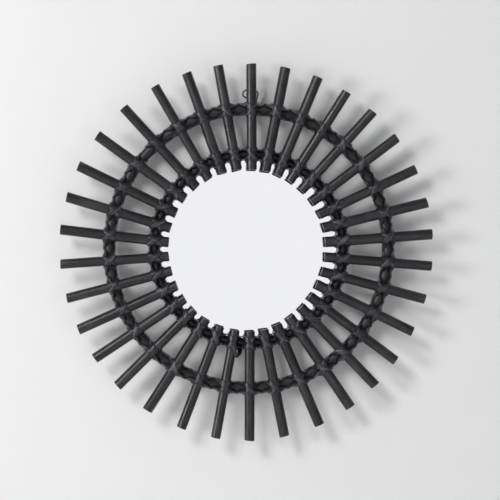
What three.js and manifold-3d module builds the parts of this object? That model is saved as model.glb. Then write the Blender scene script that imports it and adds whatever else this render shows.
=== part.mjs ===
// A round wall mirror framed by a sunburst of black-painted rattan poles.
// Thirty-four poles lie like rays on two bent cane hoops. Two strips of rattan peel wind
// round each hoop with opposite hands and cross in an X over every pole. Their ends are
// tucked into each other in one bare gap, so each hoop's lashing is one piece. The glass
// and its backing board are fixed behind the inner hoop, and a wire loop hangs the whole.
// Millimetres, +Z up. The mirror hangs in the XZ plane and faces -Y, with the wall at +Y.
// The origin is the point of the hanging loop that rests on the nail.
// Turns are in degrees, clockwise from the top as seen from the front.

import * as THREE from 'three';
import Module from 'manifold-3d';

const wasm = await Module();
wasm.setup();

// Hoops: the centre they share, the radius of each ring and the radius of its cane.
const CENTRE = { x: -3, z: -254 };
const OUTER_HOOP = { ring: 223.2, cane: 8.75, steps: 44, peelWidth: 7.5 };
const INNER_HOOP = { ring: 151.5, cane: 7.75, steps: 34, peelWidth: 5.4 };
const CANE_SIDES = 8;

// Poles: how many, and the mean radius of their cane, their tips and their inner ends.
const POLE_COUNT = 34;
const POLE_SIDES = 12;
const POLE_CANE = 8.2;
const TIP_REACH = 300;
const HEEL_REACH = 127;
const FIRST_TURN = 0.4;

// The poles are laid by hand, so each measure drifts in a few slow waves round the ring.
// A wave is [waves in one full turn, size, turn of its first peak in degrees of the wave].
const TURN_DRIFT = [[3, 0.56, -44], [1, 0.44, 7], [4, 0.37, -92], [7, 0.35, 121]];
const AIM_DRIFT = [[2, 4.4, -67], [7, 3.0, -5], [1, 2.5, 83]];
const TIP_DRIFT = [[1, 5.8, -128], [3, 2.3, 177], [2, 1.7, 4]];
const HEEL_DRIFT = [[1, 4.3, -116], [2, 2.0, 18], [3, 1.3, -177]];
const CANE_DRIFT = [[5, 0.25, 40], [11, 0.2, 160]];

// Lashing: thickness of the peel, the air left between touching pieces, and how far a
// strip has moved along its pole where it leaves the pole's side.
const PEEL_THICKNESS = 1.3;
const FIT_GAP = 0.35;
const PEEL_GAP = 1;
const ARM_RISE = 6.5;
// Where a strip lies round the hoop's cane: 0 is the front and 90 the hoop's outer edge.
const WRAP = { backBefore: 215, innerEdge: 275, frontAfter: 55, outerEdge: 105, backAfter: 160 };
const HOOP_STEP = 58;
const POLE_STEP = 60;
// How far along from the pole's side to the middle of the gap it has moved by then.
const OUTER_EDGE_WAY = 0.78;
const BACK_WAY = 0.93;
// Between hoop and pole a strip twists, so at both ends of that stretch it leans and lifts.
const TWIST_LEAN = 10;
const TWIST_LIFT = 2.2;
// One gap between two poles is left bare, where each winding starts and ends.
const FIRST_WOUND_POLE = 30;
const BARE_GAP_ARM = 6;
// There the end of the second strip rests this much higher, in the ridge of the first.
const TUCK_LIFT = 0.6;

// Glass and backing board, behind the inner hoop.
const GLASS = { radius: 152, thickness: 3, sides: 32 };
const BOARD = { radius: 156, thickness: 4, sides: 32 };

// Hanging loop: the wire, and the half width and half height of its eye.
const WIRE = { radius: 1.3, sides: 6, steps: 32 };
const EYE = { halfWidth: 12.7, halfHeight: 6.7 };

// Depths along Y. The loop's wire lies in the plane Y = 0, just behind the outer hoop.
const OUTER_HOOP_Y = -(OUTER_HOOP.cane + FIT_GAP + WIRE.radius);
const HOOP_FRONT_Y = OUTER_HOOP_Y - OUTER_HOOP.cane;
const INNER_HOOP_Y = HOOP_FRONT_Y + INNER_HOOP.cane;
const GLASS_FRONT_Y = 1.9;
const BOARD_FRONT_Y = GLASS_FRONT_Y + GLASS.thickness + FIT_GAP;
OUTER_HOOP.y = OUTER_HOOP_Y;
INNER_HOOP.y = INNER_HOOP_Y;

const BLACK_RATTAN = { color: 0x2b2b2f, roughness: 0.5, metalness: 0 };
const BLACK_PEEL = { color: 0x303035, roughness: 0.42, metalness: 0 };
const SILVERED_GLASS = { color: 0xeef0f2, roughness: 0.02, metalness: 1 };
const PAINTED_BOARD = { color: 0x1f1e1d, roughness: 0.85, metalness: 0 };
const BLACK_WIRE = { color: 0x18181a, roughness: 0.4, metalness: 0.6 };

const group = new THREE.Group();
const radians = THREE.MathUtils.degToRad;
const degrees = THREE.MathUtils.radToDeg;
const lerp = THREE.MathUtils.lerp;

function add(name, geometry, finish) {
  const mesh = new THREE.Mesh(geometry, new THREE.MeshStandardMaterial(finish));
  mesh.name = name;
  group.add(mesh);
  return mesh;
}

// The sum of a measure's waves at one turn round the ring.
function drift(waves, turn) {
  return waves.reduce((sum, [count, size, peak]) => sum + size * Math.cos(radians(count * turn - peak)), 0);
}

// The two directions at a turn: outward from the centre, and clockwise along the ring.
function outward(turn) {
  return new THREE.Vector3(Math.sin(radians(turn)), 0, Math.cos(radians(turn)));
}

function clockwise(turn) {
  return new THREE.Vector3(Math.cos(radians(turn)), 0, -Math.sin(radians(turn)));
}

// A pole's line passes the hoops' centre at a small distance, aim, on its clockwise side.
function layPole(index) {
  const even = (index * 360) / POLE_COUNT;
  const aim = drift(AIM_DRIFT, even);
  const crossing = FIRST_TURN + even + drift(TURN_DRIFT, even);
  const turn = crossing - degrees(Math.asin(aim / OUTER_HOOP.ring));
  const alongTo = (reach) => Math.sqrt(reach * reach - aim * aim);
  return {
    turn,
    aim,
    cane: POLE_CANE + drift(CANE_DRIFT, even),
    tip: alongTo(TIP_REACH + drift(TIP_DRIFT, even)),
    heel: alongTo(HEEL_REACH + drift(HEEL_DRIFT, even)),
  };
}

const poles = Array.from({ length: POLE_COUNT }, (_, index) => layPole(index));

function poleAxisY(pole) {
  return HOOP_FRONT_Y - FIT_GAP - pole.cane;
}

function addPole(pole, index) {
  const length = pole.tip - pole.heel;
  const geometry = new THREE.CylinderGeometry(pole.cane, pole.cane, length, POLE_SIDES);
  const mesh = add(`pole_${String(index + 1).padStart(2, '0')}`, geometry, BLACK_RATTAN);
  const direction = outward(pole.turn);
  mesh.quaternion.setFromUnitVectors(new THREE.Vector3(0, 1, 0), direction);
  mesh.position.copy(direction).multiplyScalar((pole.tip + pole.heel) / 2);
  mesh.position.addScaledVector(clockwise(pole.turn), pole.aim);
  mesh.position.add(new THREE.Vector3(CENTRE.x, poleAxisY(pole), CENTRE.z));
}

// A hoop is a ring of round cane, turned about the Y axis through the hoops' centre. Its
// corners lie a little outside the ring, so that the straight steps keep to it on average.
function addHoop(name, hoop) {
  const corners = (2 * hoop.ring) / (1 + Math.cos(Math.PI / hoop.steps));
  const profile = [];
  for (let side = 0; side <= CANE_SIDES; side += 1) {
    const angle = (2 * Math.PI * (side % CANE_SIDES)) / CANE_SIDES;
    profile.push(new THREE.Vector2(corners + hoop.cane * Math.cos(angle), hoop.cane * Math.sin(angle)));
  }
  const mesh = add(name, new THREE.LatheGeometry(profile, hoop.steps), BLACK_RATTAN);
  mesh.position.set(CENTRE.x, hoop.y, CENTRE.z);
}

// A station of a lashing strip: its place and its outward normal. Both are given along
// the hoop (clockwise), out from the ring, and forward, from where a pole crosses a hoop.
function station(hoop, turn, along, out, forward, normal) {
  const here = turn + degrees(along / hoop.ring);
  const radial = outward(here);
  const tangent = clockwise(here);
  const place = radial.clone().multiplyScalar(hoop.ring + out);
  place.add(new THREE.Vector3(CENTRE.x, hoop.y - forward, CENTRE.z));
  const facing = tangent.multiplyScalar(normal[0]);
  facing.addScaledVector(radial, normal[1]);
  facing.y -= normal[2];
  return { place, facing };
}

// The turn at which a pole crosses a hoop.
function crossingTurn(pole, hoop) {
  return pole.turn + degrees(Math.asin(pole.aim / hoop.ring));
}

// Half of the way along the hoop from a pole to its neighbour before (-1) or after (+1).
function halfGap(hoop, index, way) {
  const wound = (index - FIRST_WOUND_POLE + POLE_COUNT) % POLE_COUNT;
  const bare = (way < 0 && wound === 0) || (way > 0 && wound === POLE_COUNT - 1);
  if (bare) return poles[index].cane + BARE_GAP_ARM;
  const neighbour = poles[(index + way + POLE_COUNT) % POLE_COUNT];
  const apart = Math.abs(crossingTurn(neighbour, hoop) - crossingTurn(poles[index], hoop));
  return radians(Math.min(apart, 360 - apart) / 2) * hoop.ring;
}

// One pass of a strip across one pole. It comes round the back of the hoop, up its inner
// edge, over the pole on a slant and down to the outer edge. hand is 1 for a strip that
// moves outward clockwise and -1 for one that moves inward. lift is its height off the cane.
function crossPole(hoop, index, hand, lift) {
  const pole = poles[index];
  const turn = crossingTurn(pole, hoop);
  const lean = Math.tan(-Math.asin(pole.aim / hoop.ring));
  const before = halfGap(hoop, index, -hand);
  const after = halfGap(hoop, index, hand);
  const hoopWrap = hoop.cane / Math.cos(radians(HOOP_STEP / 2)) + lift;
  const poleWrap = pole.cane / Math.cos(radians(POLE_STEP / 2)) + lift;
  const poleForward = hoop.y - poleAxisY(pole);
  const [upright, leaning] = [Math.cos(radians(TWIST_LEAN)), Math.sin(radians(TWIST_LEAN))];
  // twist is -1 beside the inner arm, 1 beside the outer arm and 0 elsewhere.
  const onHoop = (angle, along, twist = 0) => {
    const [out, forward] = [Math.sin(radians(angle)), Math.cos(radians(angle))];
    const wrap = hoopWrap + Math.abs(twist) * TWIST_LIFT;
    const normal = twist ? [twist * hand * leaning, upright * out, upright * forward] : [0, out, forward];
    return station(hoop, turn, hand * along, wrap * out, wrap * forward, normal);
  };
  const onPole = (angle, out, twist = 0) => {
    const [side, forward] = [hand * Math.cos(radians(angle)), Math.sin(radians(angle))];
    const wrap = poleWrap + Math.abs(twist) * TWIST_LIFT;
    const normal = twist ? [upright * side, twist * leaning, upright * forward] : [side, 0, forward];
    return station(hoop, turn, out * lean + wrap * side, out, poleForward + wrap * forward, normal);
  };
  const way = (half, part) => lerp(pole.cane, half, part);
  const besidePole = pole.cane + hoop.peelWidth / 2 + PEEL_GAP;
  const pass = [
    onHoop(WRAP.backBefore, -way(before, BACK_WAY)),
    onHoop(WRAP.innerEdge, -besidePole, -1),
    onPole(90 + POLE_STEP, -ARM_RISE, -1),
    onPole(90, 0),
    onPole(90 - POLE_STEP, ARM_RISE, 1),
    onHoop(WRAP.frontAfter, besidePole, 1),
    onHoop(WRAP.outerEdge, Math.max(besidePole, way(after, OUTER_EDGE_WAY))),
    onHoop(WRAP.backAfter, Math.max(besidePole, way(after, BACK_WAY))),
  ];
  return hand > 0 ? pass : pass.reverse();
}

// A strip of peel with a flat inner face and a low ridge outside, swept along its stations.
// Where it twists, its faces fold along the diagonal that keeps it thick, which depends on
// its hand.
function stripGeometry(stations, width, hand) {
  const positions = [];
  const indices = [];
  stations.forEach(({ place, facing }, i) => {
    const before = stations[Math.max(i - 1, 0)].place;
    const after = stations[Math.min(i + 1, stations.length - 1)].place;
    const tangent = after.clone().sub(before).normalize();
    const normal = facing.clone().addScaledVector(tangent, -facing.dot(tangent)).normalize();
    const across = tangent.clone().cross(normal);
    positions.push(...place.clone().addScaledVector(across, -width / 2).toArray());
    positions.push(...place.clone().addScaledVector(across, width / 2).toArray());
    positions.push(...place.clone().addScaledVector(normal, PEEL_THICKNESS).toArray());
  });
  const last = 3 * (stations.length - 1);
  indices.push(0, 1, 2, last, last + 2, last + 1);
  for (let base = 0; base < last; base += 3) {
    for (let corner = 0; corner < 3; corner += 1) {
      const a = base + corner;
      const b = base + ((corner + 1) % 3);
      if (hand > 0) indices.push(a, a + 3, b, b, a + 3, b + 3);
      else indices.push(a, a + 3, b + 3, a, b + 3, b);
    }
  }
  const geometry = new THREE.BufferGeometry();
  geometry.setAttribute('position', new THREE.Float32BufferAttribute(positions, 3));
  geometry.setIndex(indices);
  return geometry;
}

// The end of a strip, tucked at the back of the hoop in the bare gap against the end of
// the strip of the other hand.
function tuckedEnd(hoop, hand) {
  const pole = poles[FIRST_WOUND_POLE];
  const angle = radians(hand > 0 ? WRAP.backAfter : WRAP.backBefore);
  const wrap = hoop.cane / Math.cos(radians(HOOP_STEP / 2)) + PEEL_GAP + (hand > 0 ? 0 : TUCK_LIFT);
  const [out, forward] = [Math.sin(angle), Math.cos(angle)];
  const along = -(pole.cane + BARE_GAP_ARM);
  return station(hoop, crossingTurn(pole, hoop), along, wrap * out, wrap * forward, [0, out, forward]);
}

// One strip wound across every pole, from one side of the bare gap round to the other.
function windStrip(hoop, hand, lift) {
  const stations = [tuckedEnd(hoop, hand)];
  for (let wound = 0; wound < POLE_COUNT; wound += 1) {
    const index = (FIRST_WOUND_POLE + wound) % POLE_COUNT;
    stations.push(...crossPole(hoop, index, hand, lift));
  }
  return stripGeometry(stations, hoop.peelWidth, hand);
}

function toSolid(geometry) {
  const [vertProperties, triVerts] = [geometry.attributes.position.array, new Uint32Array(geometry.index.array)];
  return new wasm.Manifold(new wasm.Mesh({ numProp: 3, vertProperties, triVerts }));
}

// Joins two bodies that press into each other into one.
function fuse(first, second) {
  const { vertProperties, triVerts } = toSolid(first).add(toSolid(second)).getMesh();
  const geometry = new THREE.BufferGeometry();
  geometry.setAttribute('position', new THREE.BufferAttribute(vertProperties, 3));
  geometry.setIndex(new THREE.BufferAttribute(triVerts, 1));
  return geometry;
}

// The strip of the second hand crosses over the first.
function addLashing(name, hoop) {
  const under = windStrip(hoop, 1, PEEL_GAP);
  const over = windStrip(hoop, -1, PEEL_GAP + PEEL_THICKNESS + PEEL_GAP);
  add(name, fuse(under, over), BLACK_PEEL);
}

// A round flat plate in the XZ plane, with its front face at frontY.
function addDisc(name, disc, frontY, finish) {
  const geometry = new THREE.CylinderGeometry(disc.radius, disc.radius, disc.thickness, disc.sides);
  const mesh = add(name, geometry, finish);
  mesh.position.set(CENTRE.x, frontY + disc.thickness / 2, CENTRE.z);
}

// The wire hooks under the outer hoop's cane behind the top pole, climbs its back, makes
// the eye and comes down again beside itself.
function addHangingLoop() {
  const caneZ = CENTRE.z + OUTER_HOOP.ring;
  const wrap = -OUTER_HOOP_Y + FIT_GAP;
  const legGap = 2 * WIRE.radius + FIT_GAP;
  const roundCane = (x, angle) => {
    const [out, back] = [Math.sin(radians(angle)), -Math.cos(radians(angle))];
    return new THREE.Vector3(x, OUTER_HOOP_Y + wrap * back, caneZ + wrap * out);
  };
  const leg = (x) => [
    ...[290, 265, 240, 210].map((angle) => roundCane(x, angle)),
    new THREE.Vector3(x + 1, FIT_GAP, caneZ),
    new THREE.Vector3(x + 5, 0, caneZ + 10),
  ];
  const eye = [];
  const eyeZ = WIRE.radius - EYE.halfHeight;
  for (let turn = -25; turn <= 275; turn += 30) {
    const [x, z] = [EYE.halfWidth * Math.cos(radians(turn)), EYE.halfHeight * Math.sin(radians(turn))];
    eye.push(new THREE.Vector3(x, 0, eyeZ + z));
  }
  const rightLeg = leg(5.2);
  const leftLeg = leg(5.2 - legGap).reverse();
  const path = new THREE.CatmullRomCurve3([...rightLeg, ...eye, ...leftLeg], false, 'centripetal');
  const section = new THREE.Shape();
  for (let side = 0; side < WIRE.sides; side += 1) {
    const angle = (2 * Math.PI * side) / WIRE.sides;
    const corner = [WIRE.radius * Math.cos(angle), WIRE.radius * Math.sin(angle)];
    if (side === 0) section.moveTo(...corner);
    else section.lineTo(...corner);
  }
  section.closePath();
  const geometry = new THREE.ExtrudeGeometry(section, { steps: WIRE.steps, extrudePath: path });
  add('hanging_loop', geometry, BLACK_WIRE);
}

poles.forEach(addPole);
addHoop('outer_hoop', OUTER_HOOP);
addHoop('inner_hoop', INNER_HOOP);
addLashing('outer_lashing', OUTER_HOOP);
addLashing('inner_lashing', INNER_HOOP);
addDisc('mirror_glass', GLASS, GLASS_FRONT_Y, SILVERED_GLASS);
addDisc('backing_board', BOARD, BOARD_FRONT_Y, PAINTED_BOARD);
addHangingLoop();

export default group;
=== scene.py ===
# %% [markdown]
# # A round wall mirror in a sunburst of black rattan
# Thirty-four straight rattan poles lie like rays on two hoops of bent cane. Strips of rattan
# peel bind every crossing, a round glass sits behind the inner hoop, and a wire loop hangs
# it all. This file dresses the measured solids of that mirror with grain, paint and glass.

# %% Load the measured model
import math
from collections import namedtuple

import bpy
import numpy as np
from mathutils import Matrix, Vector


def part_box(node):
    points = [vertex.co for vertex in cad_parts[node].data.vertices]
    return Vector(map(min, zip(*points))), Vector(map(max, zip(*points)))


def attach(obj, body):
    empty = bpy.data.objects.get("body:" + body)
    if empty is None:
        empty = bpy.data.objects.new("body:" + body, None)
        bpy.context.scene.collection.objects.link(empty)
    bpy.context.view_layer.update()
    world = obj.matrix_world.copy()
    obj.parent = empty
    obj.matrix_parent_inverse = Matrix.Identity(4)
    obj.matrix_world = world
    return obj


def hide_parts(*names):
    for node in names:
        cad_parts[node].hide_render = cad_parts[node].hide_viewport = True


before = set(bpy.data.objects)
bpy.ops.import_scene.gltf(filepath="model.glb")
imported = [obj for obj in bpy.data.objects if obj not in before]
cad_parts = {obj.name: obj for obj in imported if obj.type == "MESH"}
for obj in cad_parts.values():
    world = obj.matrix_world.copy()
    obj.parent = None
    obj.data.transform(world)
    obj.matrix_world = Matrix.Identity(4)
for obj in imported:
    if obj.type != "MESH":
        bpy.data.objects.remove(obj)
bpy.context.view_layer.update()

scene = bpy.context.scene
MM = 0.001

# %% [markdown]
# ## Measure the canes
# The solids say where each cane lies. A pole's two ends are the means of the corners at its
# two ends, and a hoop's ring and thickness follow from its box. Reading them here keeps every
# dressed piece in its place, where typed numbers could drift away from the solids.

# %% Read poles and hoops
Hoop = namedtuple("Hoop", "centre ring cane")


def hoop_of(node):
    """The centre, ring radius and cane radius of a hoop node."""
    low, high = (np.array(corner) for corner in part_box(node))
    thick = (high[1] - low[1]) / 2
    return Hoop((low + high) / 2, (high[0] - low[0]) / 2 - thick, thick)


def ends_of(node):
    """The two end centres of a straight round node, inner end first, and its radius."""
    points = np.array([v.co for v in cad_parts[node].data.vertices])
    middle = points.mean(axis=0)
    direction = np.linalg.svd(points - middle, full_matrices=False)[2][0]
    reach = (points - middle) @ direction
    low, high = middle + direction * reach.min(), middle + direction * reach.max()
    from_axis = (points - middle) - np.outer(reach, direction)
    centre = outer_hoop.centre
    if np.hypot(*(high - centre)[[0, 2]]) < np.hypot(*(low - centre)[[0, 2]]):
        low, high = high, low
    return low, high, np.linalg.norm(from_axis, axis=1).max()


outer_hoop, inner_hoop = hoop_of("outer_hoop"), hoop_of("inner_hoop")
pole_nodes = sorted(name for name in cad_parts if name.startswith("pole_"))
poles = [ends_of(name) for name in pole_nodes]
print(len(poles), "poles; hoops", round(outer_hoop.ring, 4), round(inner_hoop.ring, 4))

# %% [markdown]
# ## A short way to build node trees
# Both the shapes and the finishes are node trees. One small helper places a node, sets its
# properties and either links or fills its sockets, which keeps the trees readable. Arithmetic
# has helpers of its own, because a tree is mostly sums and products.

# %% Helpers for all node trees
def put(tree, kind, settings=None, **sockets):
    """Adds a node. Sockets are named in lower case, with _ for a space; in_3 picks by place."""
    node = tree.nodes.new(kind)
    for key, value in (settings or {}).items():
        setattr(node, key, value)
    for key, value in sockets.items():
        if key.startswith("in_"):
            socket = node.inputs[int(key[3:])]
        else:
            usable = (s for s in node.inputs if s.enabled)
            socket = next(s for s in usable if s.name.lower().replace(" ", "_") == key)
        if isinstance(value, bpy.types.NodeSocket):
            tree.links.new(value, socket)
        else:
            socket.default_value = value
    return node


def first_of(tree, kind, settings=None, **sockets):
    """Adds a node and gives its first output."""
    return put(tree, kind, settings, **sockets).outputs[0]


def maths(tree, operation, first, second, kind="ShaderNodeMath"):
    """A maths node on two values or sockets."""
    return first_of(tree, kind, {"operation": operation}, in_0=first, in_1=second)


def plus(tree, first, second):
    return maths(tree, "ADD", first, second)


def minus(tree, first, second):
    return maths(tree, "SUBTRACT", first, second)


def times(tree, first, second):
    return maths(tree, "MULTIPLY", first, second)


def vectors(tree, operation, first, second):
    """The same on two vectors or sockets."""
    return maths(tree, operation, first, second, "ShaderNodeVectorMath")


def scaled(tree, vector, amount):
    return first_of(tree, "ShaderNodeVectorMath", {"operation": "SCALE"}, in_0=vector, scale=amount)


def remap(tree, value, low, high, new_low=0.0, new_high=1.0):
    """Stretches values that lie between low and high to lie between two others."""
    ends = dict(in_1=low, in_2=high, in_3=new_low, in_4=new_high)
    return first_of(tree, "ShaderNodeMapRange", in_0=value, **ends)


def mix_colours(tree, share, first, second):
    """Mixes two colours, which may be sockets."""
    sockets = dict(in_0=share, in_6=first, in_7=second)
    return put(tree, "ShaderNodeMix", {"data_type": "RGBA"}, **sockets).outputs[2]


print("helpers for node trees ready")

# %% [markdown]
# ## Helpers for shapes
# Each Geometry Nodes tree here has named inputs for its sizes and ends with real geometry in
# one material, because the export drops instances. Fields that materials read later are
# stored on the points, for a noise in space would not follow a bend.

# %% Helpers for Geometry Nodes
def new_tree(name, inputs):
    """A Geometry Nodes tree with a geometry input and output and the named inputs."""
    tree = bpy.data.node_groups.new(name, "GeometryNodeTree")
    face = tree.interface
    face.new_socket(name="Geometry", in_out="INPUT", socket_type="NodeSocketGeometry")
    for title, (kind, value) in inputs.items():
        socket = face.new_socket(name=title, in_out="INPUT", socket_type="NodeSocket" + kind)
        if value is not None:
            socket.default_value = value
    face.new_socket(name="Geometry", in_out="OUTPUT", socket_type="NodeSocketGeometry")
    return tree, tree.nodes.new("NodeGroupInput").outputs


def end_tree(tree, geometry, given):
    """Makes the result real, sets its material and leads it out of the tree."""
    real = first_of(tree, "GeometryNodeRealizeInstances", geometry=geometry)
    dressed = first_of(tree, "GeometryNodeSetMaterial", geometry=real, material=given["Material"])
    tree.links.new(dressed, tree.nodes.new("NodeGroupOutput").inputs[0])
    return tree


def keep_field(tree, geometry, kind, value):
    """Captures a field on the points of a geometry. Gives the geometry and the kept field."""
    node = tree.nodes.new("GeometryNodeCaptureAttribute")
    node.domain = "POINT"
    node.capture_items.new(kind, "Kept")
    tree.links.new(geometry, node.inputs[0])
    tree.links.new(value, node.inputs[1])
    return node.outputs[0], node.outputs[1]


def store_grain(tree, geometry, grain):
    """Writes the place in the cane to each point, where the paint reads it."""
    settings = {"data_type": "FLOAT_VECTOR", "domain": "POINT"}
    kind = "GeometryNodeStoreNamedAttribute"
    return first_of(tree, kind, settings, geometry=geometry, name="grain", value=grain)


def named(tree, name, kind="FLOAT"):
    """Reads a named attribute."""
    return first_of(tree, "GeometryNodeInputNamedAttribute", {"data_type": kind}, name=name)


def push(tree, geometry, way, amount):
    """Moves each point by an amount along a direction."""
    move = scaled(tree, way, amount)
    return first_of(tree, "GeometryNodeSetPosition", geometry=geometry, offset=move)


print("helpers for shapes ready")

# %% [markdown]
# ## From a line to a plain mesh
# What is swept starts as a mesh of bare edges, since a mesh can carry values such as a cane's
# radius on its points. The modifier is then turned into a plain mesh and removed, so that what
# the piece holds is just what is seen. Closed meshes have their faces turned outwards.

# %% Helpers for meshes
def add_object(name, mesh):
    thing = bpy.data.objects.new(name, mesh)
    scene.collection.objects.link(thing)
    return thing


def path_object(name, paths, closed, **attributes):
    """A mesh of bare edges along the given paths, with one value per path or per point."""
    points, edges = [], []
    for path in paths:
        start = len(points)
        points.extend(path)
        edges.extend((start + i, start + i + 1) for i in range(len(path) - 1))
        if closed:
            edges.append((start + len(path) - 1, start))
    mesh = bpy.data.meshes.new(name)
    mesh.from_pydata([tuple(p) for p in points], edges, [])
    for title, values in attributes.items():
        rows = [np.broadcast_to(v, (len(p),) + np.shape(v)[1:]) for v, p in zip(values, paths)]
        flat = np.concatenate(rows).astype(np.float32)
        kind, field = ("FLOAT_VECTOR", "vector") if flat.ndim == 2 else ("FLOAT", "value")
        mesh.attributes.new(title, kind, "POINT").data.foreach_set(field, flat.ravel())
    return add_object(name, mesh)


def settle(thing, modifier):
    """Keeps what the modifier makes as the plain mesh of the piece and removes it."""
    bpy.context.view_layer.update()
    evaluated = thing.evaluated_get(bpy.context.evaluated_depsgraph_get())
    mesh = bpy.data.meshes.new_from_object(evaluated)
    thing.modifiers.remove(modifier)
    thing.data = mesh


def grow(thing, tree, **values):
    """Runs a tree on an object and keeps the result as its plain mesh."""
    modifier = thing.modifiers.new(tree.name, "NODES")
    modifier.node_group = tree
    items = tree.interface.items_tree
    titles = {s.name: s.identifier for s in items if s.in_out == "INPUT"}
    for title, value in values.items():
        modifier[titles[title]] = value
    settle(thing, modifier)
    thing.data.name = thing.name
    face_out(thing.data)
    print(thing.name, len(thing.data.polygons), "faces")
    return thing


def points_of(mesh):
    points = np.empty(3 * len(mesh.vertices))
    mesh.vertices.foreach_get("co", points)
    return points.reshape(-1, 3)


def face_out(mesh):
    """Turns the faces of a closed mesh outwards: its signed volume tells which way they point."""
    mesh.calc_loop_triangles()
    corners = np.empty(3 * len(mesh.loop_triangles), dtype=np.int32)
    mesh.loop_triangles.foreach_get("vertices", corners)
    a, b, c = np.moveaxis(points_of(mesh)[corners.reshape(-1, 3)], 1, 0)
    if np.einsum("ij,ij->i", a, np.cross(b, c)).sum() < 0:
        mesh.flip_normals()


def shade_sides(thing):
    """Smooth shading on the long sides, flat on the caps, which have more than four corners."""
    for polygon in thing.data.polygons:
        polygon.use_smooth = polygon.loop_total < 5


def soften(thing, width, degrees=50):
    """Rounds the sharp edges of a piece and keeps the result as its mesh."""
    modifier = thing.modifiers.new("soft_edges", "BEVEL")
    modifier.width, modifier.segments = width, 2
    modifier.limit_method, modifier.angle_limit = "ANGLE", math.radians(degrees)
    settle(thing, modifier)


print("helpers for meshes ready")

# %% [markdown]
# ## The fibres of rattan
# All rattan here wears the same thin black paint. The real stuff shows fine lengthwise fibres,
# a satin gloss that breaks on them, slow changes of tone along each cane and small greyish rubs.
# The lighter grey patches painted for those rubs are partly rubbed paint and partly a painted
# highlight, strongest on the peel.
# A picture could hold that, but noise stretched along the fibres fits any length, so one node
# group makes the fibre pattern and each material sets its own colours and gloss from it.

# %% Shared fibre pattern
FIBRE_STRETCH, BLOTCH_STRETCH = 0.03, 0.25
PORE_SCALE, PORE_SHARE = 2600.0, 0.25
FIBRE_SHARE, BLOTCH_SHARE = 0.45, 0.55
# Where fibres and blotches add up high, pale patches are painted: rubbed wear and painted
# highlight.
RUB_HIGHLIGHT_FROM, RUB_HIGHLIGHT_FULL = 1.02, 1.26


def fibre_group():
    """Group: Vector, Fibres, Blotches -> Height, Tone, and a mask of rubbed wear and painted
    highlight.
    """
    tree = bpy.data.node_groups.new("rattan_fibres", "ShaderNodeTree")
    for title, kind in (("Vector", "Vector"), ("Fibres", "Float"), ("Blotches", "Float")):
        tree.interface.new_socket(name=title, in_out="INPUT", socket_type="NodeSocket" + kind)
    for title in ("Height", "Tone", "Rub"):
        tree.interface.new_socket(name=title, in_out="OUTPUT", socket_type="NodeSocketFloat")
    given = tree.nodes.new("NodeGroupInput").outputs

    def noise(stretch, **sockets):
        size = (1, 1, stretch)
        place = first_of(tree, "ShaderNodeMapping", in_0=given["Vector"], scale=size)
        return first_of(tree, "ShaderNodeTexNoise", vector=place, **sockets)

    fibre = noise(FIBRE_STRETCH, scale=given["Fibres"], detail=5.0, roughness=0.62)
    blotch = noise(BLOTCH_STRETCH, scale=given["Blotches"], detail=4.0)
    pore = noise(BLOTCH_STRETCH, scale=PORE_SCALE, detail=2.0)
    height = plus(tree, fibre, times(tree, pore, PORE_SHARE))
    tone = plus(tree, times(tree, fibre, FIBRE_SHARE), times(tree, blotch, BLOTCH_SHARE))
    rub_and_highlight_mask = remap(tree, plus(tree, fibre, blotch), RUB_HIGHLIGHT_FROM, RUB_HIGHLIGHT_FULL)
    out = tree.nodes.new("NodeGroupOutput")
    for title, socket in (("Height", height), ("Tone", tone), ("Rub", rub_and_highlight_mask)):
        tree.links.new(socket, out.inputs[title])
    return tree


fibres = fibre_group()
print("group", fibres.name, len(fibres.nodes), "nodes")

# %% [markdown]
# ## Black paints
# The poles, hoops and peel share the paint and differ in gloss and fibre size. The grain
# attribute holds a point's place across the cane and its way along it, so the fibres follow
# each cane round its bend. The export reads the shader in the material, so it stays there.

# %% Rattan materials
# The last is how much of the pale colour of wear and painted highlight shows.
TONE_CONTRAST, TONE_PER_CANE, RUB_HIGHLIGHT_SHARE = 1.5, 0.35, 0.55
NOISE_LOW, NOISE_HIGH = 0.3, 0.7
BUMP_DEPTH = 0.4 * MM


def new_material(name):
    material = bpy.data.materials.new(name)
    material.use_nodes = True
    return material, material.node_tree, shader_of(material)


def shader_of(material):
    return next(n for n in material.node_tree.nodes if n.type == "BSDF_PRINCIPLED")


def rattan_paint(name, dark, light, rub_and_highlight_colour, gloss, fibre_scale, blotch_scale, bump):
    """Black paint on rattan, with pale patches of wear and painted highlight. gloss is the lowest
    and highest roughness.
    """
    material, tree, shader = new_material(name)
    grain = put(tree, "ShaderNodeAttribute", {"attribute_name": "grain"}).outputs["Vector"]
    own_tone = put(tree, "ShaderNodeAttribute", {"attribute_name": "tone"}).outputs["Fac"]
    sizes = dict(vector=grain, fibres=fibre_scale, blotches=blotch_scale)
    group = put(tree, "ShaderNodeGroup", {"node_tree": fibres}, **sizes).outputs
    shade = plus(tree, times(tree, group["Tone"], TONE_CONTRAST), -0.5)
    shade = plus(tree, shade, times(tree, own_tone, TONE_PER_CANE))
    colour = mix_colours(tree, shade, (*dark, 1), (*light, 1))
    # Mixes in the pale colour of rubbed wear and painted highlight where the mask says.
    colour = mix_colours(tree, times(tree, group["Rub"], RUB_HIGHLIGHT_SHARE), colour, (*rub_and_highlight_colour, 1))
    rough = remap(tree, group["Tone"], NOISE_LOW, NOISE_HIGH, *gloss)
    depth = dict(strength=bump, distance=BUMP_DEPTH)
    raised = first_of(tree, "ShaderNodeBump", height=group["Height"], **depth)
    for title, socket in (("Base Color", colour), ("Roughness", rough), ("Normal", raised)):
        tree.links.new(socket, shader.inputs[title])
    return material


# The third colour of each paint is for rubbed wear and painted highlight.
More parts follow.
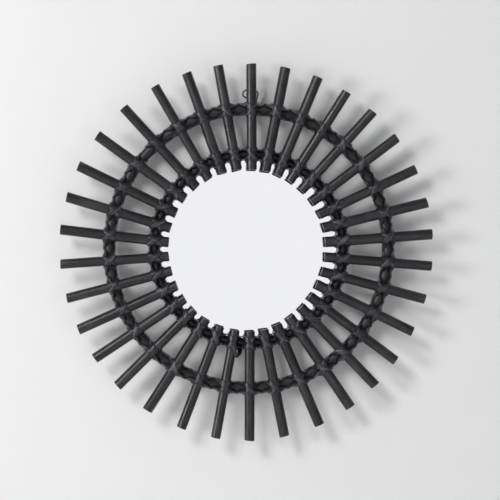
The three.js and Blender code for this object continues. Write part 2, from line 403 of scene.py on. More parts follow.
pole_paint = rattan_paint(
    "black_pole_paint",
    dark=(0.0045, 0.0045, 0.0058), light=(0.023, 0.0228, 0.028), rub_and_highlight_colour=(0.060, 0.060, 0.068),
    gloss=(0.22, 0.38), fibre_scale=1500.0, blotch_scale=90.0, bump=0.5,
)
hoop_paint = rattan_paint(
    "black_hoop_paint",
    dark=(0.004, 0.004, 0.005), light=(0.016, 0.016, 0.020), rub_and_highlight_colour=(0.045, 0.045, 0.052),
    gloss=(0.38, 0.54), fibre_scale=1300.0, blotch_scale=70.0, bump=0.4,
)
# The peel's pale colour is much lighter than on the canes: painted highlight as well as wear.
peel_paint = rattan_paint(
    "black_peel_paint",
    dark=(0.006, 0.006, 0.008), light=(0.034, 0.034, 0.043), rub_and_highlight_colour=(0.19, 0.19, 0.215),
    gloss=(0.20, 0.38), fibre_scale=1500.0, blotch_scale=120.0, bump=0.9,
)
print("materials", [m.name for m in (pole_paint, hoop_paint, peel_paint)])

# %% [markdown]
# ## Canes
# A pole is a length of rattan cut square, a little crooked and never quite even. A hoop is
# the same cane steamed and bent into a ring. Both could be modelled by hand, one by one, but
# all follow one rule: a round section along a line. So one Geometry Nodes tree sweeps the
# section, adds the crookedness and the knuckles of the cane, and stores the grain.

# %% The cane tree
SWAY_SCALE, UNEVEN_SCALE, FLUTE_SCALE = 9.0, 22.0, 420.0
FLUTE_STRETCH = 0.04
KNUCKLE_SHARPNESS = 55.0
EULER = 2.718
GRAIN_SHIFT = 7.3
CANE_INPUTS = {
    "Rings": ("Int", 90),
    "Sides": ("Int", 28),
    "Crooked": ("Float", 0.0006),
    "Uneven": ("Float", 0.012),
    "Flutes": ("Float", 0.00012),
    "Knuckle": ("Float", 0.0),
    "Seed": ("Float", 3.0),
    "Material": ("Material", None),
}


def knuckle_ring(tree, share, height):
    """A low ring where a leaf grew, at a share of each cane's length that its line carries."""
    away = times(tree, minus(tree, share, named(tree, "knuckle")), KNUCKLE_SHARPNESS)
    falling = times(tree, times(tree, away, away), -1.0)
    return times(tree, maths(tree, "POWER", EULER, falling), height)


def flutes(tree, geometry, grain, depth):
    """Shallow flutes along the cane, pushed out of its skin."""
    place = vectors(tree, "MULTIPLY", grain, (1.0, 1.0, FLUTE_STRETCH))
    flute = first_of(tree, "ShaderNodeTexNoise", vector=place, scale=FLUTE_SCALE, detail=2.0)
    outward = first_of(tree, "GeometryNodeInputNormal")
    return push(tree, geometry, outward, times(tree, minus(tree, flute, 0.5), depth))


def cane_tree():
    tree, given = new_tree("rattan_cane", CANE_INPUTS)
    place = first_of(tree, "GeometryNodeInputPosition")

    def slow_noise(scale, detail):
        sockets = dict(vector=place, w=given["Seed"], scale=scale, detail=detail)
        return put(tree, "ShaderNodeTexNoise", {"noise_dimensions": "4D"}, **sockets).outputs

    line = first_of(tree, "GeometryNodeMeshToCurve", mesh=given["Geometry"])
    count = {"mode": "COUNT"}
    line = first_of(tree, "GeometryNodeResampleCurve", count, curve=line, count=given["Rings"])
    sway = vectors(tree, "ADD", slow_noise(SWAY_SCALE, 1.0)[1], (-0.5, -0.5, -0.5))
    line = push(tree, line, sway, given["Crooked"])
    spline = tree.nodes.new("GeometryNodeSplineParameter").outputs
    line, along = keep_field(tree, line, "FLOAT", spline["Length"])
    line, share = keep_field(tree, line, "FLOAT", spline["Factor"])
    size = dict(resolution=given["Sides"], radius=1.0)
    circle = first_of(tree, "GeometryNodeCurvePrimitiveCircle", **size)
    circle, across = keep_field(tree, circle, "VECTOR", first_of(tree, "GeometryNodeInputPosition"))
    uneven = minus(tree, slow_noise(UNEVEN_SCALE, 2.0)[0], 0.5)
    swell = times(tree, uneven, given["Uneven"])
    swell = plus(tree, swell, knuckle_ring(tree, share, given["Knuckle"]))
    radius = times(tree, named(tree, "cane"), plus(tree, swell, 1.0))
    sweep = dict(profile_curve=circle, scale=radius, fill_caps=True)
    swept = first_of(tree, "GeometryNodeCurveToMesh", curve=line, **sweep)
    own_start = plus(tree, along, times(tree, named(tree, "tone"), GRAIN_SHIFT))
    length = first_of(tree, "ShaderNodeCombineXYZ", in_2=own_start)
    grain = vectors(tree, "ADD", scaled(tree, across, named(tree, "cane")), length)
    swept = store_grain(tree, swept, grain)
    return end_tree(tree, flutes(tree, swept, grain, given["Flutes"]), given)


cane = cane_tree()
print("tree", cane.name, len(cane.nodes), "nodes")

# %% [markdown]
# ## The thirty-four poles
# Each pole is cut a touch slimmer than its solid, so that fibres and knuckles stay inside it.
# All grow from one tree in one go. A value of their own gives each its tone, and a knuckle
# where the drawn place falls within its length.

# %% Make the poles
rng = np.random.default_rng(17)
SLIM = 0.985
tones = rng.uniform(0, 1, len(poles))
knuckles = rng.uniform(-0.6, 1.4, len(poles))
rays = path_object(
    "rattan_poles",
    [(low, high) for low, high, _ in poles],
    False,
    cane=[np.array([radius * SLIM]) for _, _, radius in poles],
    tone=[np.array([tone]) for tone in tones],
    knuckle=[np.array([spot]) for spot in knuckles],
)
grow(
    rays, cane, Rings=80, Sides=28, Crooked=0.7 * MM, Uneven=0.02, Flutes=0.16 * MM,
    Knuckle=0.022, Material=pole_paint,
)

# %% [markdown]
# ## Sawn ends
# A hand saw never cuts quite square, so each end leans its own way by up to a millimetre and a
# half. Moving the last few millimetres of the mesh is enough, and it only shortens the pole. A
# narrow bevel then breaks the sawn edge, as the paint rounds it on the real ones.

# %% Saw the ends
END_REACH = 6 * MM
LEAN_FROM, LEAN_TO = 0.2, 1.6
POLE_EDGE = 0.7 * MM


def slant_ends(mesh):
    """Tilts each sawn end a little."""
    points = points_of(mesh)
    owner = np.arange(len(points)) // (len(points) // len(poles))
    for index, (low, high, radius) in enumerate(poles):
        mine = owner == index
        along = (high - low) / np.linalg.norm(high - low)
        for end, way in ((low, along), (high, -along)):
            lean, amount = rng.uniform(-1, 1), rng.uniform(LEAN_FROM, LEAN_TO) * MM
            tilt = np.array([along[2], 0, -along[0]]) * math.copysign(1, lean)
            tilt += np.array([0, lean * 0.5, 0])
            tilt /= np.linalg.norm(tilt)
            off = points[mine] - end
            share = np.clip(1 - (off @ way) / END_REACH, 0, 1)
            cut = share * share * amount * (1 + (off @ tilt) / radius) / 2
            points[mine] += np.outer(cut, way)
    mesh.vertices.foreach_set("co", points.ravel())
    mesh.update()


slant_ends(rays.data)
shade_sides(rays)
soften(rays, POLE_EDGE)
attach(rays, "root")
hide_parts(*pole_nodes)
print(rays.name, len(rays.data.polygons), "faces with softened ends")

# %% [markdown]
# ## The two hoops
# A hoop is cane of about the same thickness, steamed soft, bent round a form and joined where
# the peel hides the joint. It is the same sweep on a closed line, with more rings, because it
# is longer.

# %% Make the hoops
HOOP_TONE, HOOP_KNUCKLE = 0.45, 0.37


def hoop_path(hoop, steps=360):
    turns = np.arange(steps) * 2 * np.pi / steps
    circle = np.stack([np.sin(turns), 0 * turns, np.cos(turns)], axis=1)
    return hoop.centre + hoop.ring * circle


for node, hoop in (("outer_hoop", outer_hoop), ("inner_hoop", inner_hoop)):
    bent = path_object(
        "bent_" + node,
        [hoop_path(hoop)],
        True,
        cane=[np.array([hoop.cane * SLIM])],
        tone=[np.array([HOOP_TONE])],
        knuckle=[np.array([HOOP_KNUCKLE])],
    )
    grow(
        bent, cane, Rings=420, Sides=28, Crooked=0.8 * MM, Uneven=0.03, Flutes=0.1 * MM,
        Knuckle=0.02, Seed=8.0, Material=hoop_paint,
    )
    shade_sides(bent)
    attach(bent, "root")
    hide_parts(node)

# %% [markdown]
# ## Where the canes cross
# The peel binds each pole to each hoop where they cross, so the crossings come first. Seen
# from the front a pole is a straight line and a hoop is a circle, and where they meet is
# school geometry.

# %% Find the crossings
Crossing = namedtuple("Crossing", "turn spot along radius")


def crossings(hoop):
    """For each pole in turn: its angle where it crosses the ring, a point, a way, a radius."""
    found = []
    for low, high, radius in poles:
        along = (high - low) / np.linalg.norm(high - low)
        flat_start, flat_along = (low - hoop.centre)[[0, 2]], along[[0, 2]]
        half = flat_start @ flat_along
        reach = -half + math.sqrt(half * half - flat_start @ flat_start + hoop.ring * hoop.ring)
        spot = low + along * reach
        turn = math.atan2(spot[0] - hoop.centre[0], spot[2] - hoop.centre[2])
        found.append(Crossing(turn, spot, along, radius))
    return found


outer_crossings, inner_crossings = crossings(outer_hoop), crossings(inner_hoop)
print("first crossings at", [round(math.degrees(c.turn), 1) for c in outer_crossings[:4]])

# %% [markdown]
# ## Where the peel has to pass
# Two strips of peel wind round each hoop with opposite hands and cross in an X over every pole.
# On the way past one pole a strip comes from the back of the hoop, climbs its inner side, goes
# slantwise over the pole, down past the outer side and behind again. Eight stations say that,
# and some are held where they are, because friction holds the real strip there.

# %% Stations of a strip
Winding = namedtuple("Winding", "name hoop crossings width edge_way arm_rise")
Station = namedtuple("Station", "place held lift pole")
FIRST_WOUND = 30
BARE_END = 6 * MM
# angles round the hoop's cane: 0 is its front, 90 its outer side, 270 its inner side
BACK_BEFORE, INNER_SIDE, FRONT_AFTER, OUTER_EDGE, BACK_AFTER = 205, 272, 60, 98, 160
# shares of the way from a pole's side to the middle of the gap
BACK_WAY, FRONT_WAY = 0.97, 0.45
ARM_TURN = math.radians(46)
FRONT = np.array([0.0, -1.0, 0.0])


def on_hoop(hoop, turn, along, angle, lift):
    """A place on the hoop's cane, some way along it from a turn and at an angle round it."""
    here = turn + along / hoop.ring
    wrap, a = hoop.cane + lift, math.radians(angle)
    out = hoop.ring + wrap * math.sin(a)
    x, y, z = hoop.centre
    return np.array([x + out * math.sin(here), y - wrap * math.cos(a), z + out * math.cos(here)])


def on_pole(crossing, side, rise, lift):
    """A place on the slope of a pole beside its crossing, some way along the pole."""
    tangent = np.array([math.cos(crossing.turn), 0.0, -math.sin(crossing.turn)])
    slant = FRONT * math.cos(ARM_TURN) + tangent * side * math.sin(ARM_TURN)
    return crossing.spot + crossing.along * rise + slant * (crossing.radius + lift)


def half_gap(winding, index, way):
    """Half the distance along the hoop from a pole to its neighbour."""
    rows = winding.crossings
    apart = rows[(index + way) % len(rows)].turn - rows[index].turn
    return abs((apart + math.pi) % (2 * math.pi) - math.pi) * winding.hoop.ring / 2


def stations_at(winding, index, hand, lifts, before, after):
    """The eight stations of a strip at one pole. before and after are its reach on each side."""
    hoop, crossing = winding.hoop, winding.crossings[index]
    turn, spot, _, radius = crossing
    low, high = lifts
    middle = low * 0.3 + high * 0.7
    beside = radius + winding.width * 0.55
    rise = winding.arm_rise

    def part_way(half, share):
        return radius + (half - radius) * share

    def on_ring(reach, angle, lift):
        return on_hoop(hoop, turn, hand * reach, angle, lift)

    return [
        Station(on_ring(-part_way(before, BACK_WAY), BACK_BEFORE, high), True, high, index),
        Station(on_ring(-beside, INNER_SIDE, low), False, low, index),
        Station(on_pole(crossing, -hand, -rise, middle), True, middle, index),
        Station(spot + FRONT * (radius + high), True, high, index),
        Station(on_pole(crossing, hand, rise, middle), True, middle, index),
        Station(
            on_ring(max(beside, part_way(after, FRONT_WAY)), FRONT_AFTER, low), False, low, index
        ),
        Station(on_ring(part_way(after, winding.edge_way), OUTER_EDGE, high), True, high, index),
        Station(on_ring(part_way(after, BACK_WAY), BACK_AFTER, high), True, high, index),
    ]


def stations(winding, hand, lifts):
    """All stations of one strip in order. It starts and ends short, in one bare gap."""
    path, count = [], len(winding.crossings)
    start, end = (0, count - 1)[::hand]
    for wound in range(count):
        index = (FIRST_WOUND + wound) % count
        short = winding.crossings[index].radius + BARE_END
        before = short if wound == start else half_gap(winding, index, -hand)
        after = short if wound == end else half_gap(winding, index, hand)
        path.extend(stations_at(winding, index, hand, lifts, before, after)[::hand])
    return path


outer_winding = Winding("outer", outer_hoop, outer_crossings, 8.2 * MM, 0.9, 6.2 * MM)
inner_winding = Winding("inner", inner_hoop, inner_crossings, 7.4 * MM, 0.95, 8.0 * MM)
print("stations on one strip:", 8 * len(outer_crossings))

# %% [markdown]
# ## Sample the route
# Between its stations the strip first follows a smooth curve. It is cut into short even steps,
# and each point remembers its lift off the cane and the pole that is nearest.

# %% Sample a smooth curve
STRIP_STEP = 2.1 * MM


def curve_point(knots, index, t):
    """A point of the smooth curve through the knots, a share t of the way past one knot."""
    last = len(knots) - 1
    p0, p1, p2, p3 = (knots[min(max(index + k, 0), last)] for k in (-1, 0, 1, 2))
    bend, twist = 2 * p0 - 5 * p1 + 4 * p2 - p3, 3 * p1 - p0 - 3 * p2 + p3
    return 0.5 * (2 * p1 + (p2 - p0) * t + bend * t * t + twist * t**3)


def sample(path):
    """The points of a strip, whether each is held, its lift and its pole."""
    places, rows = [station.place for station in path], []
    for i, (here, there) in enumerate(zip(path, path[1:])):
        pieces = max(2, round(np.linalg.norm(there.place - here.place) / STRIP_STEP))
        for piece in range(pieces):
            t = piece / pieces
            ease = t * t * (3 - 2 * t)
            lift = here.lift * (1 - ease) + there.lift * ease
            pole = here.pole if t < 0.5 else there.pole
            rows.append((curve_point(places, i, t), here.held and piece == 0, lift, pole))
    rows.append((places[-1], True, path[-1].lift, path[-1].pole))
    line, held, lift, pole = (np.array(column) for column in zip(*rows))
    held[0] = True
    return line, held, lift, pole


print("steps of", round(STRIP_STEP / MM, 1), "mm")

# %% [markdown]
# ## Pull it taut
# A weaver pulls the peel tight, and it then takes the shortest way round the canes. The same
# is done here many times over: each free point moves towards the middle of its neighbours and
# is pushed back out where that takes it into a cane. Plain arithmetic does this best, since
# each step needs the one before.

# %% Pull a strip taut
Near = namedtuple("Near", "spots ways radii")
ROUNDS, PULL = 160, 0.45
BLEND = 0.7 * MM


def dot(first, second):
    return np.einsum("ij,ij->i", first, second)


def unit(rows):
    return rows / np.linalg.norm(rows, axis=1)[:, None]


def square_to(rows, ways):
    """Unit rows at right angles to the given ways."""
    return unit(rows - ways * dot(rows, ways)[:, None])


def calm(values, rounds):
    """Evens out values along a strip."""
    for _ in range(rounds):
        values[1:-1] = (values[:-2] + 2 * values[1:-1] + values[2:]) / 4
    return values


def clearances(hoop, near, points):
    """How far points are off hoop and pole, each with the direction straight away from it."""
    flat = points - hoop.centre
    away = np.hypot(flat[:, 0], flat[:, 2])
    section = np.stack([away - hoop.ring, flat[:, 1]], axis=1)
    far = np.linalg.norm(section, axis=1)
    lean = section[:, :1] / far[:, None]
    hoop_way = np.stack([flat[:, 0], 0 * away, flat[:, 2]], axis=1) / away[:, None] * lean
    hoop_way[:, 1] = section[:, 1] / far
    side = points - near.spots
    side = side - near.ways * dot(side, near.ways)[:, None]
    off = np.linalg.norm(side, axis=1)
    return (far - hoop.cane, hoop_way), (off - near.radii, side / off[:, None])


def pull_taut(hoop, near, line, held, lift):
    for _ in range(ROUNDS):
        pulled = line.copy()
        pulled[1:-1] += PULL * ((line[:-2] + line[2:]) / 2 - line[1:-1])
        line = np.where(held[:, None], line, pulled)
        for gap, way in clearances(hoop, near, line):
            line = line + way * np.where(held, 0, np.maximum(lift - gap, 0))[:, None]
    return line


def faces_and_cups(hoop, near, line, lift):
    """The outward way of each point, and how strongly the strip must cup round its cane."""
    (from_hoop, hoop_way), (from_pole, pole_way) = clearances(hoop, near, line)
    near_hoop = 1 / (np.maximum(from_hoop - lift, 0) + BLEND) ** 2
    near_pole = 1 / (np.maximum(from_pole - lift, 0) + BLEND) ** 2
    share = near_pole / (near_hoop + near_pole)
    tangents = unit(np.gradient(line, axis=0))
    outward = calm(hoop_way * (1 - share)[:, None] + pole_way * share[:, None], 3)
    outward = square_to(outward, tangents)
    across = np.cross(tangents, outward)
    flat = line - hoop.centre
    ring_way = unit(np.stack([flat[:, 2], 0 * flat[:, 0], -flat[:, 0]], axis=1))
    bend_pole = (1 - dot(across, near.ways) ** 2) / (near.radii + lift)
    bend_hoop = (1 - dot(across, ring_way) ** 2) / (hoop.cane + lift)
    return outward, calm(bend_hoop * (1 - share) + bend_pole * share, 2)


def lay_strip(winding, hand, lifts):
    """The points of one strip, their outward directions and how much it cups across."""
    line, held, lift, pole = sample(stations(winding, hand, lifts))
    rows = [winding.crossings[i] for i in pole]
    near = Near(*(np.array(column) for column in list(zip(*rows))[1:]))
    line = pull_taut(winding.hoop, near, line, held, lift)
    return line, *faces_and_cups(winding.hoop, near, line, lift)


print("each strip is pulled", ROUNDS, "times")

# %% [markdown]
# ## Peel
# A strip of peel is the outer skin of the cane, flat below and a little domed above, about
# seven millimetres wide. One tree sweeps that section along each taut line with its back to
# the cane, then bends its two edges down so that it hugs the round below it.

# %% The peel tree
SECTION_POINTS, FILLET = 18, 0.34 * MM
DOME_FROM, DOME_FULL = -0.2 * MM, 0.4 * MM
RIDGES_ACROSS, RIDGES_ALONG = 900.0, 26.0
PEEL_INPUTS = {
    "Width": ("Float", 0.007),
    "Thickness": ("Float", 0.001),
    "Crown": ("Float", 0.0003),
    "Ragged": ("Float", 0.0003),
    "Material": ("Material", None),
}


def peel_section(tree, given):
    """A thin bar with rounded corners, and the place of each of its points."""
    size = dict(width=given["Thickness"], height=given["Width"])
    bar = first_of(tree, "GeometryNodeCurvePrimitiveQuadrilateral", {"mode": "RECTANGLE"}, **size)
    corner = dict(count=3, radius=FILLET)
    bar = first_of(tree, "GeometryNodeFilletCurve", {"mode": "POLY"}, curve=bar, **corner)
    count = {"mode": "COUNT"}
    bar = first_of(tree, "GeometryNodeResampleCurve", count, curve=bar, count=SECTION_POINTS)
    return keep_field(tree, bar, "VECTOR", first_of(tree, "GeometryNodeInputPosition"))


def peel_lift(tree, given, place, along):
    """How far each point is moved outwards: edges down, crown up, and fine ridges."""
    across_2 = times(tree, place[1], place[1])
    hug = times(tree, times(tree, across_2, named(tree, "cup")), -0.5)
    half = times(tree, given["Width"], 0.5)
    flatness = minus(tree, 1.0, maths(tree, "DIVIDE", across_2, times(tree, half, half)))
    top = remap(tree, place[0], DOME_FROM, DOME_FULL)
    crown = times(tree, times(tree, flatness, given["Crown"]), top)
    spread = dict(in_0=times(tree, place[1], RIDGES_ACROSS), in_1=times(tree, along, RIDGES_ALONG))
    spread = first_of(tree, "ShaderNodeCombineXYZ", **spread)
    ridge = first_of(tree, "ShaderNodeTexNoise", vector=spread, scale=1.0, detail=2.0)
    ridge = times(tree, times(tree, minus(tree, ridge, 0.5), given["Ragged"]), top)
    return plus(tree, plus(tree, hug, crown), ridge)


def peel_tree():
    tree, given = new_tree("peel_strip", PEEL_INPUTS)
    outward = named(tree, "outward", "FLOAT_VECTOR")
    line = first_of(tree, "GeometryNodeMeshToCurve", mesh=given["Geometry"])
    free = {"mode": "FREE"}
    line = first_of(tree, "GeometryNodeSetCurveNormal", free, curve=line, normal=outward)
    length = tree.nodes.new("GeometryNodeSplineParameter").outputs["Length"]
    line, along = keep_field(tree, line, "FLOAT", length)
    section, place = peel_section(tree, given)
    sweep = dict(profile_curve=section, scale=1.0, fill_caps=True)
    swept = first_of(tree, "GeometryNodeCurveToMesh", curve=line, **sweep)
    place = put(tree, "ShaderNodeSeparateXYZ", in_0=place).outputs
    swept = push(tree, swept, outward, peel_lift(tree, given, place, along))
    grain = first_of(tree, "ShaderNodeCombineXYZ", in_0=place[0], in_1=place[1], in_2=along)
    return end_tree(tree, store_grain(tree, swept, grain), given)


peel = peel_tree()
print("tree", peel.name, len(peel.nodes), "nodes")

# %% [markdown]
# ## Bind the crossings
# The strip of one hand lies on the canes and the other rides over it where they cross, at the
# front of each pole and twice between two poles. Both are one piece per hoop, as the ends of
# the two strips are tucked together in one bare gap. Low on the left of the inner hoop one
# turn hangs slack beside a pole, so a short strip through four points is added there.

# %% Wind both hoops
UNDER, OVER = (0.15 * MM, 0.15 * MM), (0.35 * MM, 1.3 * MM)
UNDER_TONE, OVER_TONE, SLACK_TONE = 0.3, 0.7, 0.5
SLACK_KNOTS = [
    (-32.0, -34.5, -411.0), (-25.5, -33.0, -421.0), (-19.5, -25.0, -426.5), (-17.0, -9.0, -408.5)
]
SLACK_FACINGS = [(0.15, -0.97, -0.1), (0.25, -0.85, -0.3), (0.45, -0.4, -0.7), (0.2, 0.5, -0.8)]


def slack_strip(knots, facings, samples=16):
    """A short slack bit of peel through four points, facing the given ways on its path."""
    steps, places = np.linspace(0, 3, samples), np.arange(4)
    columns = np.array(knots).T * MM
    line = [np.polyval(np.polyfit(places, column, 3), steps) for column in columns]
    line = np.stack(line, axis=1)
    outward = [np.interp(steps, places, column) for column in np.array(facings).T]
    tangents = unit(np.gradient(line, axis=0))
    return line, square_to(np.stack(outward, axis=1), tangents), np.zeros(samples)


for winding in (outer_winding, inner_winding):
    strips = [lay_strip(winding, 1, UNDER), lay_strip(winding, -1, OVER)]
    shades = [UNDER_TONE, OVER_TONE]
    if winding is inner_winding:
        strips.append(slack_strip(SLACK_KNOTS, SLACK_FACINGS))
        shades.append(SLACK_TONE)
    binding = path_object(
        winding.name + "_peel_binding",
        [strip[0] for strip in strips],
        False,
        outward=[strip[1] for strip in strips],
        cup=[strip[2] for strip in strips],
        tone=[np.array([shade]) for shade in shades],
    )
    grow(
        binding, peel, Width=winding.width, Thickness=1.0 * MM, Crown=0.35 * MM,
        Ragged=0.35 * MM, Material=peel_paint,
    )
    shade_sides(binding)
    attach(binding, "root")
    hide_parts(winding.name + "_lashing")

# %% [markdown]
# ## Plain finishes
# Glass, board, wire, pins, wall and floor need no fibres. Each gets a colour and a gloss that
# drift a little with a noise in the space of the piece, since no real surface is quite even.

# %% Plain materials
def plain_paint(name, dark, light, gloss, scale, bump=0.0, metallic=0.0):
    """A finish whose colour and gloss drift with a noise in object space."""
    material, tree, shader = new_material(name)
    place = put(tree, "ShaderNodeTexCoord").outputs["Object"]
    drift = dict(vector=place, scale=scale, detail=6.0, roughness=0.6)
    noise = first_of(tree, "ShaderNodeTexNoise", **drift)
    colour = mix_colours(tree, noise, (*dark, 1), (*light, 1))
    rough = remap(tree, noise, NOISE_LOW, NOISE_HIGH, *gloss)
    tree.links.new(colour, shader.inputs["Base Color"])
    tree.links.new(rough, shader.inputs["Roughness"])
    shader.inputs["Metallic"].default_value = metallic
    if bump:
        raised = first_of(tree, "ShaderNodeBump", strength=0.5, distance=bump, height=noise)
        tree.links.new(raised, shader.inputs["Normal"])
    return material


silver = plain_paint(
    "silvered_glass", (0.93, 0.93, 0.945), (0.955, 0.955, 0.965), (0.004, 0.012), 30.0,
    metallic=1.0,
)
board_paint = plain_paint(
    "fibreboard_paint", (0.018, 0.017, 0.017), (0.062, 0.058, 0.054), (0.6, 0.85), 260.0,
    bump=0.3 * MM,
)
wire_paint = plain_paint(
    "black_wire", (0.012, 0.012, 0.014), (0.028, 0.028, 0.032), (0.25, 0.45), 900.0,
    bump=0.05 * MM,
)
pin_metal = plain_paint(
    "pin_metal", (0.10, 0.10, 0.105), (0.22, 0.22, 0.22), (0.3, 0.5), 500.0,
    bump=0.05 * MM, metallic=1.0,
)
print("materials", [m.name for m in (silver, board_paint, wire_paint, pin_metal)])

# %% [markdown]
# ## Glass and board
# The glass is a plain silvered disc with a ground edge, and the board behind it is painted
# fibreboard held by small pins. Both are turned shapes, so one function spins a profile.

# %% Turn the discs
Disc = namedtuple("Disc", "x z reach front back")
EDGE = 0.6 * MM
PIN_STAND = 0.5 * MM


def disc_of(node):
    low, high = (np.array(corner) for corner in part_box(node))
    x, _, z = (low + high) / 2
    return Disc(x, z, (high[0] - low[0]) / 2, low[1], high[1])


def turned(name, disc, profile, sides, material):
    """A closed solid spun about the Y axis from (radius, y) pairs, from front to back."""
    points, last = [], (len(profile) - 1) * sides
    for reach, depth in profile:
        for side in range(sides):
            a = 2 * math.pi * side / sides
            points.append((disc.x + reach * math.sin(a), depth, disc.z + reach * math.cos(a)))
    faces = [tuple(reversed(range(sides))), tuple(last + i for i in range(sides))]
    for row in range(len(profile) - 1):
        for side in range(sides):
            a, b = row * sides + side, row * sides + (side + 1) % sides
            faces.append((a, b, b + sides, a + sides))
    mesh = bpy.data.meshes.new(name)
    mesh.from_pydata(points, [], faces)
    mesh.materials.append(material)
    face_out(mesh)
    print(name, len(faces), "faces")
    return add_object(name, mesh)


disc = disc_of("mirror_glass")
rim = disc.reach - 0.2 * EDGE
glass_profile = [
    (disc.reach - 3.2 * EDGE, disc.front),
    (disc.reach - EDGE, disc.front + 0.3 * EDGE),
    (rim, disc.front + EDGE),
    (rim, disc.back - EDGE),
    (disc.reach - EDGE, disc.back - 0.1 * EDGE),
    (disc.reach - 1.2 * EDGE, disc.back),
]
glass = turned("mirror_plate", disc, glass_profile, 192, silver)
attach(glass, "root")
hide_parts("mirror_glass")

disc = disc_of("backing_board")
rim, rear = disc.reach - 0.3 * EDGE, disc.back - PIN_STAND
board_profile = [
    (disc.reach - 2 * EDGE, disc.front),
    (rim, disc.front + EDGE),
    (rim, rear - EDGE),
    (disc.reach - 2 * EDGE, rear),
]
board = turned("fibre_board", disc, board_profile, 160, board_paint)
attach(board, "root")
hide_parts("backing_board")

# %% [markdown]
# ## Pins on the back
# Flat pins hold the board to the inner hoop. They repeat round a circle, so one small tree
# sets a pin on each point of it. Their heads give the back its highest points.

# %% Set the pins
PIN_DEPTH, PIN_INSET, PIN_SINK = 2 * MM, 9 * MM, 0.02 * MM
PIN_INPUTS = {
    "Count": ("Int", 14),
    "Ring": ("Float", 0.14),
    "Head": ("Float", 0.003),
    "Depth": ("Float", 0.002),
    "Place": ("Vector", (0.0, 0.0, 0.0)),
    "Material": ("Material", None),
}


def pin_tree():
    tree, given = new_tree("pins_on_ring", PIN_INPUTS)
    circle = dict(vertices=given["Count"], radius=given["Ring"])
    ring = first_of(tree, "GeometryNodeMeshCircle", **circle)
    size = dict(vertices=24, radius=given["Head"], depth=given["Depth"])
    head = first_of(tree, "GeometryNodeMeshCylinder", **size)
    heads = first_of(tree, "GeometryNodeInstanceOnPoints", points=ring, instance=head)
    upright = dict(rotation=(math.radians(-90), 0, 0), translation=given["Place"])
    heads = first_of(tree, "GeometryNodeTransform", geometry=heads, **upright)
    return end_tree(tree, heads, given)


pin_place = (disc.x, disc.back - PIN_DEPTH / 2 - PIN_SINK, disc.z)
pins = path_object("board_pins", [[(0, 0, 0), (0, 0, 0.001)]], False)
grow(
    pins, pin_tree(), Count=14, Ring=disc.reach - PIN_INSET, Head=2.6 * MM, Depth=PIN_DEPTH,
    Place=pin_place, Material=pin_metal,
)
soften(pins, 0.25 * MM)
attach(pins, "root")

# %% [markdown]
# ## The hanging loop
# One length of wire hooks under the outer hoop behind the top pole, twists round itself on the
# way up and opens into a flat eye. Its route is a row of knots with a smooth curve through
# them, and the cane tree sweeps it. That would give it knuckles, so their height is nothing.

# %% Bend the wire
WIRE = 1.25 * MM
EYE_HALF = (12.4 * MM, 7.4 * MM)
HOOK_X, HOOK_ANGLES = 3.9 * MM, (288, 268, 248, 228, 208, 190)
STEM_X, STEM_SHIFT, STEM_ROUND, STEM_STEPS = 9.4 * MM, 1.2 * MM, 1.35 * MM, 8


def wire_leg(sign, eye_z):
    """One of the two ends of the wire, from under the hoop up to the eye."""
    cane_z = outer_hoop.centre[2] + outer_hoop.ring
    hook = outer_hoop.cane + WIRE + 0.1 * MM
    x = HOOK_X + sign * 1.5 * MM
    leg = []
    for angle in HOOK_ANGLES:
        a = math.radians(angle)
        leg.append((x, outer_hoop.centre[1] - hook * math.cos(a), cane_z + hook * math.sin(a)))
    leg.append((x + 1.4 * MM, 0.1 * MM, cane_z + 4 * MM))
    low, high = cane_z + 9 * MM, eye_z - EYE_HALF[1]
    for step in range(STEM_STEPS + 1):
        share = step / STEM_STEPS
        phase = 2 * math.pi * share
        x = STEM_X - STEM_SHIFT * (1 - share) + sign * STEM_ROUND * math.cos(phase)
        y = sign * STEM_ROUND * math.sin(phase) * 0.95
        leg.append((x, y, low + (high - low) * share))
    return leg


def bend_wire(steps=6):
    eye_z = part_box("hanging_loop")[1][2] - WIRE - EYE_HALF[1] + 1.2 * MM
    eye = []
    for degrees in range(-22, 250, 12):
        a = math.radians(degrees)
        eye.append((EYE_HALF[0] * math.cos(a), 0.0, eye_z + EYE_HALF[1] * math.sin(a)))
    knots = np.array(wire_leg(1, eye_z) + eye + wire_leg(-1, eye_z)[::-1])
    spans = range(len(knots) - 1)
    line = [curve_point(knots, i, step / steps) for i in spans for step in range(steps)]
    return np.array(line + [knots[-1]])


wire = path_object(
    "wire_loop",
    [bend_wire()],
    False,
    cane=[np.array([WIRE])],
    tone=[np.array([0.5])],
    knuckle=[np.array([-1.0])],
)
grow(
    wire, cane, Rings=260, Sides=14, Crooked=0.0, Uneven=0.01, Flutes=0.0, Knuckle=0.0,
    Material=wire_paint,
)
shade_sides(wire)
soften(wire, 0.4 * MM)
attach(wire, "root")
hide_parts("hanging_loop")

# %% [markdown]
# ## Wall and floor
# The mirror hangs on a plain off-white wall. The wall is invisible from behind and lets light
# through from there, so that the back can be looked at.

# %% Wall and floor
def stage_paint(name, dark, light):
    return plain_paint(name, dark, light, (0.85, 0.95), 14.0)


def clear_from_behind(material):
    """Makes a material invisible on its back faces and to shadow rays."""
    tree = material.node_tree
    out = next(n for n in tree.nodes if n.type == "OUTPUT_MATERIAL")
    behind = put(tree, "ShaderNodeNewGeometry").outputs["Backfacing"]
    shadow = put(tree, "ShaderNodeLightPath").outputs["Is Shadow Ray"]
    share = maths(tree, "MAXIMUM", behind, shadow)
    clear = first_of(tree, "ShaderNodeBsdfTransparent")
    solid = shader_of(material).outputs[0]
    mix = first_of(tree, "ShaderNodeMixShader", in_0=share, in_1=solid, in_2=clear)
    tree.links.new(mix, out.inputs["Surface"])


def slab(name, corners, material):
    mesh = bpy.data.meshes.new(name)
    mesh.from_pydata(corners, [], [(0, 1, 2, 3)])
    mesh.materials.append(material)
    thing = add_object(name, mesh)


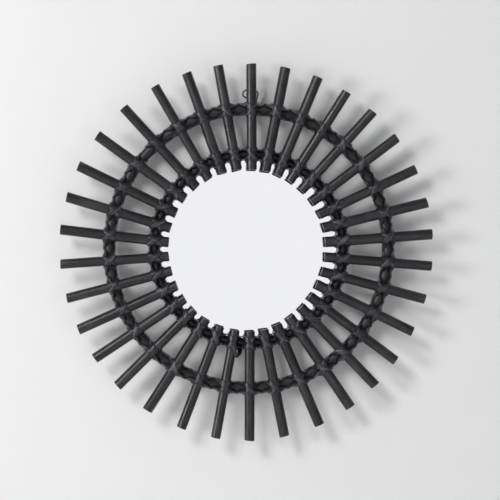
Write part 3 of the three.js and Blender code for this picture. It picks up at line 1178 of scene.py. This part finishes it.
WALL_Y, WALL_TOP, FLOOR_Z, HALF = 0.0100, 2.2, -1.15, 3.0
wall_paint = stage_paint("wall_plaster", (0.80, 0.80, 0.80), (0.83, 0.83, 0.83))
floor_paint = stage_paint("pale_floor", (0.70, 0.70, 0.70), (0.74, 0.74, 0.74))
clear_from_behind(wall_paint)
wall_low = [(-HALF, WALL_Y, FLOOR_Z), (HALF, WALL_Y, FLOOR_Z)]
wall_high = [(HALF, WALL_Y, WALL_TOP), (-HALF, WALL_Y, WALL_TOP)]
floor_near = [(-HALF, -HALF, FLOOR_Z), (HALF, -HALF, FLOOR_Z)]
floor_far = [(HALF, HALF, FLOOR_Z), (-HALF, HALF, FLOOR_Z)]
slab("wall", wall_low + wall_high, wall_paint)
slab("floor", floor_near + floor_far, floor_paint)

# %% [markdown]
# ## Light
# The room is pale, and soft light comes from above on the left and from the left, which throws
# the shadows to the right. A white card in front is what the glass reflects. Area lights are
# used, because their size sets how soft a shadow is.

# %% Lamps and sky
AIM = (0, 0, -0.25)
world = bpy.data.worlds.new("pale_room")
scene.world = world
world.use_nodes = True
sky = next(n for n in world.node_tree.nodes if n.type == "BACKGROUND")
sky.inputs["Color"].default_value = (0.97, 0.98, 1.0, 1)
sky.inputs["Strength"].default_value = 0.31


def soft_light(name, place, size, power, target=AIM):
    lamp = bpy.data.lights.new(name, "AREA")
    lamp.shape, lamp.size, lamp.energy = "SQUARE", size, power
    thing = add_object(name, lamp)
    thing.location = place
    thing.rotation_euler = (Vector(target) - Vector(place)).to_track_quat("-Z", "Y").to_euler()
    print("light", name, power, "W")


soft_light("white_card", (0.16, -3.6, -0.25), size=1.4, power=3.78, target=(0.16, 0, -0.25))
soft_light("key", (-2.1, -3.1, 1.7), size=1.15, power=66)
soft_light("side_window", (-3.2, -2.3, 0.0), size=1.0, power=56)
soft_light("low_fill", (1.7, -3.2, -1.5), size=1.5, power=18)
soft_light("back_fill", (1.2, 2.4, 0.9), size=1.6, power=40)

# %% [markdown]
# ## Camera
# The mirror is seen from straight in front, a little from the left. The lens is moved
# sideways instead of turned, which keeps the rings round.

# %% Camera
eye = bpy.data.cameras.new("camera")
eye.lens, eye.sensor_width, eye.shift_x, eye.shift_y = 151.9, 36.0, 0.1022, -0.003
view = add_object("camera", eye)
view.location = (-0.083, -3.4, -0.254)
view.rotation_euler = (math.radians(90), 0, 0)
scene.camera = view
scene.view_settings.view_transform = "Standard"
print("camera at", [round(v, 3) for v in view.location], "lens", round(eye.lens, 1))
